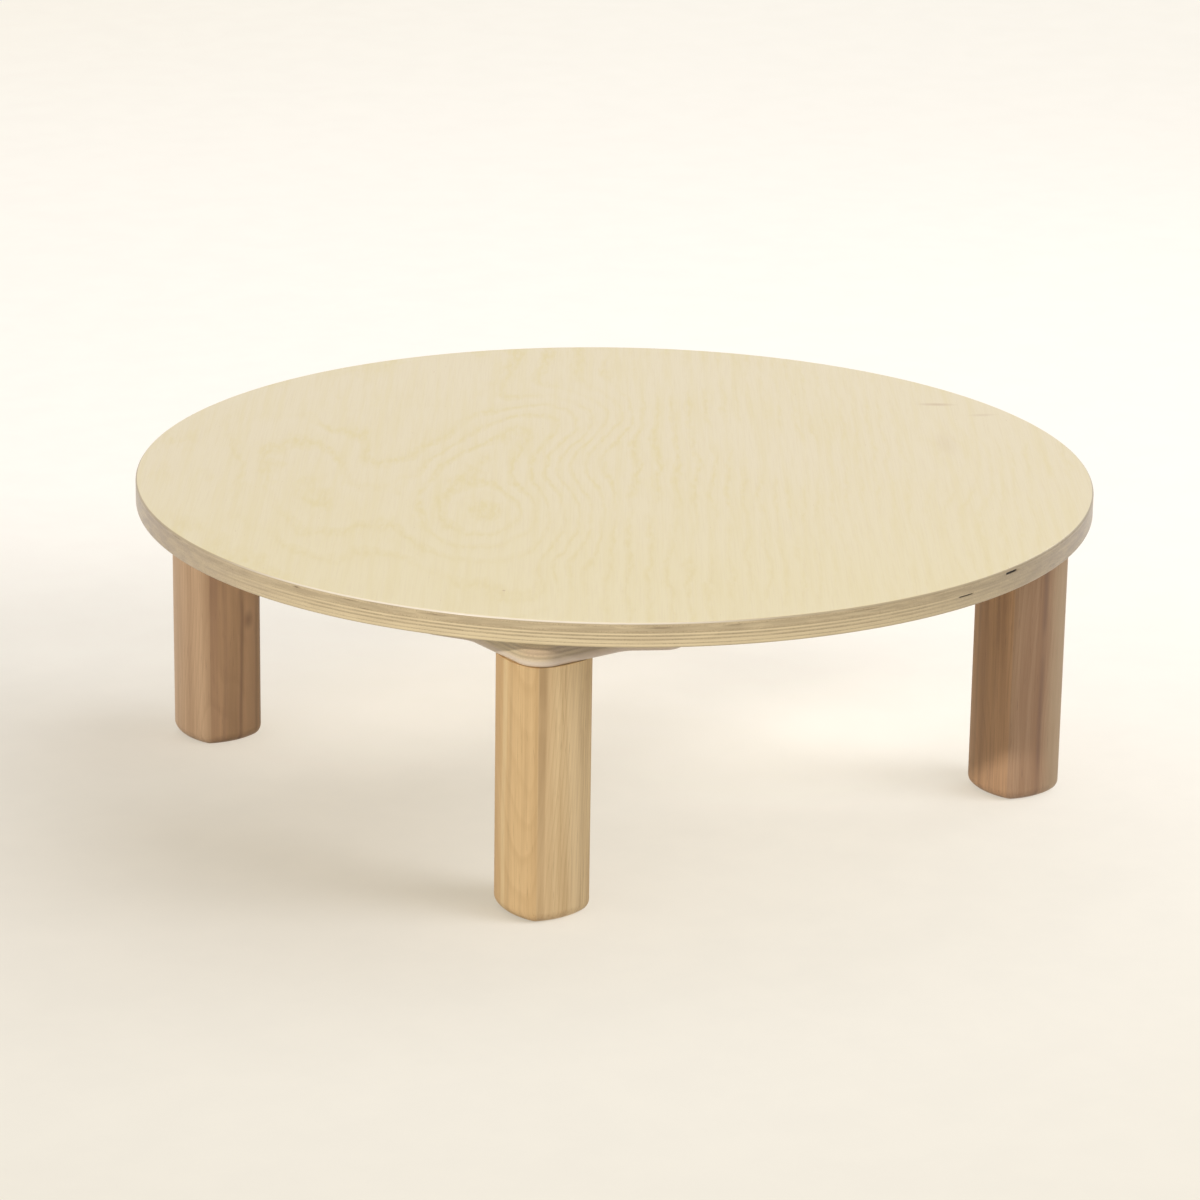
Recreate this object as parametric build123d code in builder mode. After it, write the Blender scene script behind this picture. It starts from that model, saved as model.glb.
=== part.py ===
"""Round low table with four folding legs.

A plywood disc stands on four plywood blocks. Under each block a thick post leg hangs on a
steel hinge and folds up towards the middle of the table. A flat spring in the hinge snaps
the leg open and shut. Millimetres, +Z up, origin on the floor under the middle of the top.
"""
from build123d import *
from math import sqrt
import os

# ---- top ----
top_diameter = 950.0
top_thickness = 24.0
top_upper_round = 2.5
top_lower_round = 2.0
table_height = 305.0

# ---- legs ----
leg_set_in = 66.3  # from the rim of the top to a leg's axis, towards the middle
leg_width = 80.0  # across two opposite crowned faces
face_crown_radius = 72.0  # every face is a shallow arc
leg_corner_radius = 13.0
foot_round = 12.0
leg_top_round = 1.0

# ---- blocks between top and legs ----
block_thickness = 30.0
block_arc_set_in = 10.7  # from a leg's axis to the block's outer arc, towards the middle
block_nose_radius = 27.5  # follows the leg's outer corner
block_notch_radius = 30.0  # hollow where the arc runs into the nose
block_half_width = 125.0
block_inner_reach = 125.0  # from the leg's axis towards the middle of the table
block_corner_radius = 22.0
block_lower_round = 5.0

# ---- hinge: pressed sheet steel ----
sheet = 3.0
seat_distance = 35.0  # flat on the leg's inner corner, from the leg's axis
seat_length = 52.0
plate_width = 36.0
plate_top_gap = 4.0
plate_length = 46.0
plate_corner_radius = 5.0
pivot_stand_off = 10.0  # from the face of the leg plate to the pin's axis
pivot_drop = 16.0  # from the underside of the block to the pin's axis
cam_reach = 10.0  # from the pin's axis to the cam's flats
cam_corner_radius = 8.0
base_start_gap = 2.0  # from the face of the leg plate to the base
base_length = 41.0
base_half_width = 36.0
base_corner_radius = 7.0
cheek_length = 36.0
cheek_tail_depth = 6.0
stop_half_width = 14.0

# ---- hinge pin, washers and clip ----
pin_radius = 4.0
pin_head_radius = 6.5
pin_head_height = 3.0
pin_head_round = 1.4
pin_tail = 3.0  # past the cheek, at the clip's end
pin_chamfer = 0.6
washer_radius = 8.0
washer_thickness = 1.1
clip_radius = 7.0
clip_thickness = 1.0
clip_mouth = 5.0
groove_radius = 3.2

# ---- detent spring and its rivets ----
spring_thickness = 1.2
spring_half_width = 17.0
spring_overhang = 3.0  # before the pin's axis and past the cam
spring_slope_length = 5.0
spring_stop_gap = 2.0  # from the end of the spring to the stop lip
rivet_radius = 2.0
rivet_head_radius = 3.6
rivet_head_height = 1.8
rivet_head_round = 1.2
rivet_half_spacing = 8.0
rivet_inset = 5.5  # from the end of the spring

# ---- wood screws ----
screw_radius = 2.2
screw_head_radius = 4.2
screw_head_height = 2.4
screw_point = 4.0
drive_depth = 1.4
drive_width = 1.0
block_screw_length = 46.0
base_screw_length = 25.0
plate_screw_length = 30.0
outer_screw_reach = 42.0  # block screws, from the leg's axis towards the middle
outer_screw_half_spacing = 88.0
inner_screw_reach = 100.0
inner_screw_half_spacing = 66.0
base_screw_inset = 10.0
base_screw_half_spacing = 29.5
plate_screw_drop = 33.0  # upper pair, below the block
plate_screw_pitch = 11.0
plate_screw_half_spacing = 8.5

# ---- clearances ----
running_fit = 0.05  # pin in the ears and washers, on the radius
fixed_fit = 0.02  # pin in the cheeks, clip on the pin, shanks in their holes, on the radius
side_play = 0.1  # at each face of a washer
stop_gap = 0.15  # from the stop lip to the plate of the folded leg
spring_clearance = 0.12  # the spring is drawn lifted, as when a cam's corner passes under it

# ---- worked out from the sizes above ----
top_underside = table_height - top_thickness
block_underside = top_underside - block_thickness
leg_circle = top_diameter / 2 - leg_set_in
leg_offset = leg_circle / sqrt(2)  # along X and along Y
block_arc_radius = leg_circle - block_arc_set_in  # about the middle of the table
crown_centre = face_crown_radius - leg_width / 2
leg_corner = (sqrt(2 * face_crown_radius**2 - crown_centre**2) - crown_centre) / 2
plate_face = seat_distance + sheet
pivot_reach = plate_face + pivot_stand_off
ear_inner = plate_width / 2 - sheet
cheek_inner = plate_width / 2 + washer_thickness + 2 * side_play
cheek_outer = cheek_inner + sheet
base_start = plate_face + base_start_gap
base_end = base_start + base_length
stop_depth = pivot_drop + pivot_stand_off - stop_gap
cam_corner_reach = (cam_reach - cam_corner_radius) * sqrt(2) + cam_corner_radius
spring_level = cam_corner_reach + spring_clearance - pivot_drop
spring_end = base_end - sheet - spring_stop_gap
rivet_reach = spring_end - rivet_inset

corners = {
    "front_left": (-1, -1),
    "front_right": (1, -1),
    "back_right": (1, 1),
    "back_left": (-1, 1),
}


def leg_frame(corner):
    """Under a block, on its leg's axis: X points to the middle of the table, Z is up."""
    side_x, side_y = corners[corner]
    centre = (side_x * leg_offset, side_y * leg_offset, block_underside)
    return Plane(origin=centre, x_dir=(-side_x, -side_y, 0), z_dir=(0, 0, 1))


def side_sheet(frame, y):
    """For side profiles: X to the middle of the table, Y up, facing the frame's -Y."""
    origin = frame.from_local_coords(Vector(0, y, 0))
    return Plane(origin=origin, x_dir=frame.x_dir, z_dir=-frame.y_dir)


def end_sheet(frame, x):
    """Faces the middle of the table: X along the frame's Y, Y up."""
    origin = frame.from_local_coords(Vector(x, 0, 0))
    return Plane(origin=origin, x_dir=frame.y_dir, z_dir=frame.x_dir)


def underside_spots(frame, places, drop=0.0):
    """Planes that face down, for screws that go up into the wood."""
    spots = []
    for x, y in places:
        origin = frame.from_local_coords(Vector(x, y, -drop))
        spots.append(Plane(origin=origin, x_dir=frame.x_dir, z_dir=-frame.z_dir))
    return spots


def both_sides(*places):
    return [(x, side * y) for x, y in places for side in (-1, 1)]


def block_screw_spots(frame):
    places = both_sides(
        (outer_screw_reach, outer_screw_half_spacing),
        (inner_screw_reach, inner_screw_half_spacing),
    )
    return underside_spots(frame, places)


def base_screw_spots(frame):
    places = both_sides(
        (base_start + base_screw_inset, base_screw_half_spacing),
        (base_end - base_screw_inset, base_screw_half_spacing),
    )
    return underside_spots(frame, places, drop=sheet)


def plate_screw_spots(frame):
    face = end_sheet(frame, plate_face)
    spots = []
    for drop in (plate_screw_drop, plate_screw_drop + plate_screw_pitch):
        for side in (-1, 1):
            origin = face.from_local_coords(Vector(side * plate_screw_half_spacing, -drop, 0))
            spots.append(Plane(origin=origin, x_dir=face.x_dir, z_dir=face.z_dir))
    return spots


def wood_screws(spots, length, play=0.0):
    """Countersunk screws, head flush with each spot. With play, the holes for them."""
    shank = screw_radius + play
    with BuildPart() as one:
        with BuildSketch(Plane.XZ):
            with BuildLine():
                Polyline(
                    (0, 0),
                    (screw_head_radius + play, 0),
                    (shank, -screw_head_height),
                    (shank, -(length - screw_point)),
                    (0, -length),
                    close=True,
                )
            make_face()
        revolve(axis=Axis.Z)
        if play == 0:
            with BuildSketch():
                Rectangle(2 * screw_radius, drive_width)
                Rectangle(drive_width, 2 * screw_radius)
            extrude(amount=-drive_depth, mode=Mode.SUBTRACT)
    with BuildPart() as group:
        with Locations(*spots):
            add(one.part)
    return group


def spring_rivets(frame, play=0.0):
    """Round heads under the spring, shanks up through the base. With play, their holes."""
    spring_face = sheet + spring_thickness
    with BuildPart() as rivets:
        for side in (-1, 1):
            centre = (rivet_reach, side * rivet_half_spacing)
            if play == 0:
                with BuildSketch(frame.offset(-spring_face)):
                    with Locations(centre):
                        Circle(rivet_head_radius)
                extrude(amount=-rivet_head_height)
            with BuildSketch(frame.offset(-spring_face)):
                with Locations(centre):
                    Circle(rivet_radius + play)
            extrude(amount=spring_face)
        if play == 0:
            lowest = rivets.edges().group_by(Axis.Z)[0]
            fillet(lowest, rivet_head_round)
    return rivets


def write(name, builder):
    builder.part.label = name
    export_step(builder.part, f"parts/{name}.step")


os.makedirs("parts", exist_ok=True)
frames = {corner: leg_frame(corner) for corner in corners}
all_block_spots = [spot for frame in frames.values() for spot in block_screw_spots(frame)]
all_base_spots = [spot for frame in frames.values() for spot in base_screw_spots(frame)]

# ---- outlines that every corner shares ----
with BuildSketch() as leg_section:
    with BuildLine():
        for turn in (45, 135, 225, 315):
            ThreePointArc(
                Vector(leg_corner, -leg_corner).rotate(Axis.Z, turn),
                Vector(leg_width / 2, 0).rotate(Axis.Z, turn),
                Vector(leg_corner, leg_corner).rotate(Axis.Z, turn),
            )
    make_face()
    fillet(leg_section.vertices(), leg_corner_radius)

with BuildSketch() as block_outline:
    with Locations((leg_circle, 0)):
        Circle(block_arc_radius)
    with Locations(((block_half_width - leg_width / 2) * sqrt(2), 0)):
        Rectangle(2 * block_half_width, 2 * block_half_width, rotation=45)
    with Locations((block_inner_reach, 0)):
        Rectangle(
            2 * leg_circle, 2 * block_half_width, align=(Align.MAX, Align.CENTER), mode=Mode.INTERSECT
        )
    fillet(block_outline.vertices().sort_by(Axis.X)[3:], block_corner_radius)
    fillet(block_outline.vertices().sort_by(Axis.X)[1:3], block_notch_radius)
    fillet(block_outline.vertices().sort_by(Axis.X)[0], block_nose_radius)

with BuildSketch() as cam_profile:
    with Locations((seat_distance, -pivot_drop)):
        Rectangle(pivot_reach + cam_reach - seat_distance, 2 * cam_reach, align=(Align.MIN, Align.CENTER))
    fillet(cam_profile.vertices().sort_by(Axis.X)[2:], cam_corner_radius)

with BuildSketch() as cheek_profile:
    with Locations((pivot_reach, -pivot_drop)):
        Circle(cam_reach)
    with Locations((base_start, 0)):
        Rectangle(cheek_length, sheet + cheek_tail_depth, align=(Align.MIN, Align.MAX))
    make_hull()

# ---- table top ----
with BuildPart() as table_top:
    with BuildSketch(Plane.XY.offset(top_underside)):
        Circle(top_diameter / 2)
    extrude(amount=top_thickness)
    fillet(table_top.edges().sort_by(Axis.Z)[-1], top_upper_round)
    fillet(table_top.edges().sort_by(Axis.Z)[0], top_lower_round)
    add(wood_screws(all_block_spots, block_screw_length, fixed_fit).part, mode=Mode.SUBTRACT)
write("table_top", table_top)

for corner, frame in frames.items():
    # plywood block, flush with the leg's outer corner
    with BuildPart() as block:
        with BuildSketch(frame):
            add(block_outline.sketch)
        extrude(amount=block_thickness)
        fillet(block.faces().sort_by(Axis.Z)[0].edges(), block_lower_round)
        add(wood_screws(block_screw_spots(frame), block_screw_length, fixed_fit).part, mode=Mode.SUBTRACT)
        add(wood_screws(base_screw_spots(frame), base_screw_length, fixed_fit).part, mode=Mode.SUBTRACT)
    write(f"block_{corner}", block)

    # solid wood leg with a flat for the hinge on its inner corner
    with BuildPart() as leg:
        with BuildSketch(frame):
            add(leg_section.sketch)
        extrude(amount=-block_underside)
        fillet(leg.faces().sort_by(Axis.Z)[0].edges(), foot_round)
        fillet(leg.faces().sort_by(Axis.Z)[-1].edges(), leg_top_round)
        with BuildSketch(end_sheet(frame, seat_distance)):
            Rectangle(leg_width, seat_length, align=(Align.CENTER, Align.MAX))
        extrude(amount=leg_width, mode=Mode.SUBTRACT)
        add(wood_screws(plate_screw_spots(frame), plate_screw_length, fixed_fit).part, mode=Mode.SUBTRACT)
    write(f"leg_{corner}", leg)

    # leg plate with two cam ears
    with BuildPart() as plate:
        with BuildSketch(end_sheet(frame, seat_distance)) as plate_face_sketch:
            with Locations((0, -plate_top_gap)):
                Rectangle(plate_width, plate_length, align=(Align.CENTER, Align.MAX))
            fillet(plate_face_sketch.vertices().sort_by(Axis.Y)[:2], plate_corner_radius)
        extrude(amount=sheet)
        for outer_face in (plate_width / 2, -ear_inner):
            with BuildSketch(side_sheet(frame, outer_face)):
                add(cam_profile.sketch)
            extrude(amount=sheet)
        with BuildSketch(side_sheet(frame, plate_width / 2)):
            with Locations((pivot_reach, -pivot_drop)):
                Circle(pin_radius + running_fit)
        extrude(amount=plate_width, mode=Mode.SUBTRACT)
        add(wood_screws(plate_screw_spots(frame), plate_screw_length, fixed_fit).part, mode=Mode.SUBTRACT)
    write(f"leg_plate_{corner}", plate)

    # base under the block: web, two cheeks and the stop lip
    with BuildPart() as base:
        with BuildSketch(frame) as web:
            with Locations((base_start, 0)):
                Rectangle(base_length, 2 * base_half_width, align=(Align.MIN, Align.CENTER))
            fillet(web.vertices(), base_corner_radius)
        extrude(amount=-sheet)
        for outer_face in (cheek_outer, -cheek_inner):
            with BuildSketch(side_sheet(frame, outer_face)):
                add(cheek_profile.sketch)
            extrude(amount=sheet)
        with BuildSketch(end_sheet(frame, base_end - sheet)):
            Rectangle(2 * stop_half_width, stop_depth, align=(Align.CENTER, Align.MAX))
        extrude(amount=sheet)
        with BuildSketch(side_sheet(frame, cheek_outer)):
            with Locations((pivot_reach, -pivot_drop)):
                Circle(pin_radius + fixed_fit)
        extrude(amount=2 * cheek_outer, mode=Mode.SUBTRACT)
        add(wood_screws(base_screw_spots(frame), base_screw_length, fixed_fit).part, mode=Mode.SUBTRACT)
        add(spring_rivets(frame, fixed_fit).part, mode=Mode.SUBTRACT)
    write(f"hinge_base_{corner}", base)

    # hinge pin: head outside one cheek, groove for the clip outside the other
    with BuildPart() as pin:
        with BuildSketch(side_sheet(frame, cheek_outer + pin_head_height)):
            with Locations((pivot_reach, -pivot_drop)):
                Circle(pin_head_radius)
        extrude(amount=pin_head_height)
        head_rim = pin.edges().sort_by(frame.location.y_axis)[-1]
        fillet(head_rim, pin_head_round)
        with BuildSketch(side_sheet(frame, cheek_outer)):
            with Locations((pivot_reach, -pivot_drop)):
                Circle(pin_radius)
        extrude(amount=2 * cheek_outer + pin_tail)
        tail_rim = pin.edges().sort_by(frame.location.y_axis)[0]
        chamfer(tail_rim, pin_chamfer)
        with BuildSketch(side_sheet(frame, -cheek_outer)):
            with Locations((pivot_reach, -pivot_drop)):
                Circle(pin_radius)
                Circle(groove_radius, mode=Mode.SUBTRACT)
        extrude(amount=clip_thickness + side_play, mode=Mode.SUBTRACT)
    write(f"hinge_pin_{corner}", pin)

    # flat spring: riveted to the base, its free end lies on the cams
    with BuildPart() as spring:
        with BuildSketch(side_sheet(frame, spring_half_width)):
            with BuildLine():
                flat_start = pivot_reach - spring_overhang
                flat_end = pivot_reach + cam_reach + spring_overhang
                Polyline(
                    (flat_start, spring_level),
                    (flat_end, spring_level),
                    (flat_end + spring_slope_length, -sheet - spring_thickness),
                    (spring_end, -sheet - spring_thickness),
                    (spring_end, -sheet),
                    (flat_end + spring_slope_length, -sheet),
                    (flat_end, spring_level + spring_thickness),
                    (flat_start, spring_level + spring_thickness),
                    close=True,
                )
            make_face()
        extrude(amount=2 * spring_half_width)
        add(spring_rivets(frame, fixed_fit).part, mode=Mode.SUBTRACT)
    write(f"detent_spring_{corner}", spring)

    # screws that turn with the leg
    plate_screws = wood_screws(plate_screw_spots(frame), plate_screw_length)
    write(f"plate_screws_{corner}", plate_screws)

# ---- small parts that are alike at every corner ----
with BuildPart() as washers:
    for frame in frames.values():
        for outer_face in (cheek_inner - side_play, -plate_width / 2 - side_play):
            with BuildSketch(side_sheet(frame, outer_face)):
                with Locations((pivot_reach, -pivot_drop)):
                    Circle(washer_radius)
                    Circle(pin_radius + running_fit, mode=Mode.SUBTRACT)
            extrude(amount=washer_thickness)
write("hinge_washers", washers)

with BuildPart() as clips:
    for frame in frames.values():
        with BuildSketch(side_sheet(frame, -cheek_outer - side_play)):
            with Locations((pivot_reach, -pivot_drop)):
                Circle(clip_radius)
                Circle(groove_radius + fixed_fit, mode=Mode.SUBTRACT)
                Rectangle(clip_mouth, clip_radius, align=(Align.CENTER, Align.MAX), mode=Mode.SUBTRACT)
        extrude(amount=clip_thickness)
write("pin_clips", clips)

with BuildPart() as rivets:
    for frame in frames.values():
        add(spring_rivets(frame).part)
write("spring_rivets", rivets)

write("block_screws", wood_screws(all_block_spots, block_screw_length))
write("base_screws", wood_screws(all_base_spots, base_screw_length))
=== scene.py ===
import bpy
import bmesh
import math
from mathutils import Matrix, Vector


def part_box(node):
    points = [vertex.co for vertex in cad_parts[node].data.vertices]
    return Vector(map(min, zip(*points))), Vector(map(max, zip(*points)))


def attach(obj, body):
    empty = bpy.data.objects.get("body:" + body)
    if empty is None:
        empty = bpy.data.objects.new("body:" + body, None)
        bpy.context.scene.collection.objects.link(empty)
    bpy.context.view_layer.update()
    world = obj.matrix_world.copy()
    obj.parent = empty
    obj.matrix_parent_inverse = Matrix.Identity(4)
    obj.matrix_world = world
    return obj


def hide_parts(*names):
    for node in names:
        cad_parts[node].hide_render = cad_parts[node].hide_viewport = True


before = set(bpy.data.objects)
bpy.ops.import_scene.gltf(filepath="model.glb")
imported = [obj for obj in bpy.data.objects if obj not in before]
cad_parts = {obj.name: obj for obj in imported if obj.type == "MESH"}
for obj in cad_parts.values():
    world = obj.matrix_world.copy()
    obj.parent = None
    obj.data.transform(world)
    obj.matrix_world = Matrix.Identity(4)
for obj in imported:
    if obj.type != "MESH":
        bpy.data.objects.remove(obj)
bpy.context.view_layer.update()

corners = {
    "front_left": (-1, -1),
    "front_right": (1, -1),
    "back_right": (1, 1),
    "back_left": (-1, 1),
}
mm = 0.001
topLow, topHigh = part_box("table_top")
blockLow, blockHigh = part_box("block_front_left")


def legAxis(corner):
    low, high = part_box("leg_" + corner)
    return Vector(((low.x + high.x) / 2, (low.y + high.y) / 2, 0))


# short forms for shader trees
def newMaterial(name):
    mat = bpy.data.materials.new(name)
    mat.use_nodes = True
    tree = mat.node_tree
    tree.nodes.clear()
    output = tree.nodes.new("ShaderNodeOutputMaterial")
    shader = tree.nodes.new("ShaderNodeBsdfPrincipled")
    tree.links.new(shader.outputs["BSDF"], output.inputs["Surface"])
    return mat, tree, shader


def plug(tree, socket, value):
    if isinstance(value, bpy.types.NodeSocket):
        tree.links.new(value, socket)
    else:
        socket.default_value = value


def calc(tree, operation, a, b=0.0, c=0.0):
    made = tree.nodes.new("ShaderNodeMath")
    made.operation = operation
    for socket, value in zip(made.inputs, (a, b, c)):
        plug(tree, socket, value)
    return made.outputs[0]


def vectorCalc(tree, operation, a, b=None):
    made = tree.nodes.new("ShaderNodeVectorMath")
    made.operation = operation
    plug(tree, made.inputs[0], a)
    if b is not None:
        plug(tree, made.inputs[1], b)
    return made.outputs


def objectCoords(tree):
    return tree.nodes.new("ShaderNodeTexCoord").outputs["Object"]


def mapped(tree, vector, scale=(1, 1, 1), turn=(0, 0, 0), shift=(0, 0, 0)):
    made = tree.nodes.new("ShaderNodeMapping")
    plug(tree, made.inputs["Vector"], vector)
    made.inputs["Scale"].default_value = scale
    made.inputs["Rotation"].default_value = turn
    made.inputs["Location"].default_value = shift
    return made.outputs[0]


def parts(tree, vector):
    made = tree.nodes.new("ShaderNodeSeparateXYZ")
    plug(tree, made.inputs[0], vector)
    return made.outputs


def joined(tree, x=0.0, y=0.0, z=0.0):
    made = tree.nodes.new("ShaderNodeCombineXYZ")
    for socket, value in zip(made.inputs, (x, y, z)):
        plug(tree, socket, value)
    return made.outputs[0]


# noise as a dictionary's row gives it; a scale for each axis stretches it
def noise(tree, vector, row):
    scale = row["scale"]
    if isinstance(scale, tuple):
        vector = mapped(tree, vector, scale=scale, shift=(row.get("shift", 0), 0, 0))
        scale = 1.0
    made = tree.nodes.new("ShaderNodeTexNoise")
    plug(tree, made.inputs["Vector"], vector)
    made.inputs["Scale"].default_value = scale
    made.inputs["Detail"].default_value = row["detail"]
    made.inputs["Roughness"].default_value = row.get("rough", 0.5)
    return made.outputs[0]


def eased(tree, value, low, high, toLow=0.0, toHigh=1.0):
    made = tree.nodes.new("ShaderNodeMapRange")
    made.interpolation_type = "SMOOTHSTEP"
    for socket, number in zip(made.inputs, (value, low, high, toLow, toHigh)):
        plug(tree, socket, number)
    return made.outputs[0]


# eases a value from one pair of levels to another, both named in a row
def levelled(tree, value, row):
    return eased(tree, value, *row["from"], *row["to"])


def ramp(tree, value, stops, easing="LINEAR"):
    made = tree.nodes.new("ShaderNodeValToRGB")
    made.color_ramp.interpolation = easing
    points = made.color_ramp.elements
    while len(points) < len(stops):
        points.new(0.5)
    for point, (place, tone) in zip(points, stops):
        point.position = place
        point.color = (tone, tone, tone, 1) if isinstance(tone, float) else (*tone, 1)
    plug(tree, made.inputs[0], value)
    return made.outputs[0]


def blended(tree, amount, a, b, how="MIX"):
    made = tree.nodes.new("ShaderNodeMix")
    made.data_type = "RGBA"
    made.blend_type = how
    made.clamp_factor = True
    plug(tree, made.inputs[0], amount)
    for socket, value in ((made.inputs[6], a), (made.inputs[7], b)):
        plug(tree, socket, (*value, 1) if isinstance(value, tuple) else value)
    return made.outputs[2]


def bumped(tree, shader, height, depth):
    made = tree.nodes.new("ShaderNodeBump")
    made.inputs["Distance"].default_value = depth
    plug(tree, made.inputs["Height"], height)
    plug(tree, shader.inputs["Normal"], made.outputs[0])


# a soft round spot, 1 in the middle and 0 outside its radii
def spot(tree, vector, centre, radii, angle=0.0):
    local = mapped(tree, vector, shift=tuple(-c for c in centre))
    local = mapped(tree, local, turn=(0, 0, -angle))
    local = mapped(tree, local, scale=tuple(1 / r for r in radii))
    length = vectorCalc(tree, "LENGTH", local)["Value"]
    return eased(tree, length, 0.0, 1.0, 1.0, 0.0)


veneer = {
    "pale": (0.80, 0.70, 0.498),
    "paleNear": (0.80, 0.70, 0.452),  # towards one end of the sheet
    "line": (0.755, 0.640, 0.350),
    "fibre": (0.70, 0.575, 0.37),
    "knot": (0.50, 0.33, 0.17),
    "grainDeg": 54.0,
    "bands": 4.3,  # lines for each unit of the height field
    "slope": {"from": (-0.62, 0.16), "to": (-8.0, 0.0)},  # of the field, over the plain side
    "swells": {"scale": (2.2, 5.0, 1), "detail": 1.0, "rough": 0.35, "height": 0.60},
    "wobble": {"scale": (8, 22, 1), "detail": 3.0, "rough": 0.6, "height": 0.38},
    "lineShape": [(0.0, 0.05), (0.42, 0.25), (0.68, 1.0), (0.84, 0.55), (1.0, 0.05)],
    "lineStrength": {
        "scale": (5, 7, 1), "shift": 3, "detail": 1.0,
        "from": (0.34, 0.66), "to": (0.16, 0.88),
    },
    "boldPlace": (-0.080, 0.130),  # where the figure is boldest: along and to the left
    "boldReach": (0.430, 0.330),
    "boldShare": 0.14,
    "plainSide": {"from": (-0.30, 0.0), "to": (0.55, 1.0)},
    "breaks": {
        "scale": (45, 190, 1), "shift": 1, "detail": 2.0, "rough": 0.6,
        "from": (0.32, 0.66), "to": (0.45, 1.25),
    },
    "paleReach": (-0.45, 0.10),
    "fibres": {
        "scale": (14, 620, 1), "detail": 3.0, "rough": 0.6,
        "from": (0.42, 0.75), "to": (0.0, 0.30),
    },
    "streaks": {
        "scale": (3.5, 90, 1), "detail": 3.0, "rough": 0.6,
        "from": (0.42, 0.72), "to": (0.0, 0.42),
    },
    "flecks": {
        "scale": (90, 520, 1), "shift": 7, "detail": 1.0,
        "from": (0.74, 0.82), "to": (0.0, 0.28),
    },
    "roughness": 0.36,
    "specular": 0.45,
    "coatRoughness": 0.16,
    "bumpMm": 0.06,
}
veneerHills = [  # (along, to the left), radii, turn, height
    ((-0.128, 0.122), (0.280, 0.150), 0.06, 1.15),
    ((0.150, 0.070), (0.240, 0.110), -0.44, 0.86),
    ((-0.110, 0.290), (0.280, 0.110), 0.10, 0.60),
    ((0.130, 0.345), (0.200, 0.110), 0.15, 0.26),
    ((-0.384, 0.071), (0.110, 0.060), 0.00, 0.30),
    ((0.060, -0.350), (0.240, 0.070), 0.00, 0.36),
]
veneerKnots = [  # (along, to the left), radii, turn, strength
    ((0.262, -0.338), (0.008, 0.026), 0.0, 0.50),
    ((0.224, -0.383), (0.007, 0.020), 0.2, 0.28),
    ((0.115, -0.338), (0.060, 0.016), 0.0, 0.16),
    ((-0.3866, 0.1017), (0.003, 0.0022), 0.0, 0.85),
]


# rotary cut birch: the figure is the contour lines of a slow height field
def veneerColour(tree, coords, zShift=0.0):
    turned = mapped(tree, coords, turn=(0, 0, -math.radians(veneer["grainDeg"])))
    flat = mapped(tree, turned, scale=(1, 1, 0), shift=(0, 0, zShift))
    field = levelled(tree, parts(tree, flat)[1], veneer["slope"])
    for centre, radii, angle, height in veneerHills:
        hill = spot(tree, flat, centre + (zShift,), radii + (1,), angle)
        field = calc(tree, "MULTIPLY_ADD", hill, height, field)
    for row in (veneer["swells"], veneer["wobble"]):
        field = calc(tree, "MULTIPLY_ADD", noise(tree, flat, row), row["height"], field)
    phase = calc(tree, "FRACT", calc(tree, "MULTIPLY", field, veneer["bands"]))
    lines = ramp(tree, phase, veneer["lineShape"], "EASE")
    strength = noise(tree, flat, veneer["lineStrength"])
    bold = spot(tree, flat, veneer["boldPlace"] + (zShift,), veneer["boldReach"] + (1,))
    strength = calc(tree, "MULTIPLY_ADD", bold, veneer["boldShare"], strength)
    lines = calc(tree, "MULTIPLY", lines, levelled(tree, strength, veneer["lineStrength"]))
    plainSide = levelled(tree, parts(tree, flat)[1], veneer["plainSide"])
    lines = calc(tree, "MULTIPLY", lines, plainSide)
    breaks = levelled(tree, noise(tree, flat, veneer["breaks"]), veneer["breaks"])
    lines = calc(tree, "MULTIPLY", lines, breaks)
    along = eased(tree, parts(tree, flat)[0], *veneer["paleReach"])
    pale = blended(tree, along, veneer["paleNear"], veneer["pale"])
    colour = blended(tree, lines, pale, veneer["line"])
    fibre = noise(tree, flat, veneer["fibres"])
    colour = blended(tree, levelled(tree, fibre, veneer["fibres"]), colour, veneer["fibre"])
    streaky = levelled(tree, noise(tree, flat, veneer["streaks"]), veneer["streaks"])
    colour = blended(tree, streaky, colour, veneer["line"])
    flecked = levelled(tree, noise(tree, flat, veneer["flecks"]), veneer["flecks"])
    colour = blended(tree, flecked, colour, veneer["knot"])
    return colour, flat, fibre


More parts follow.
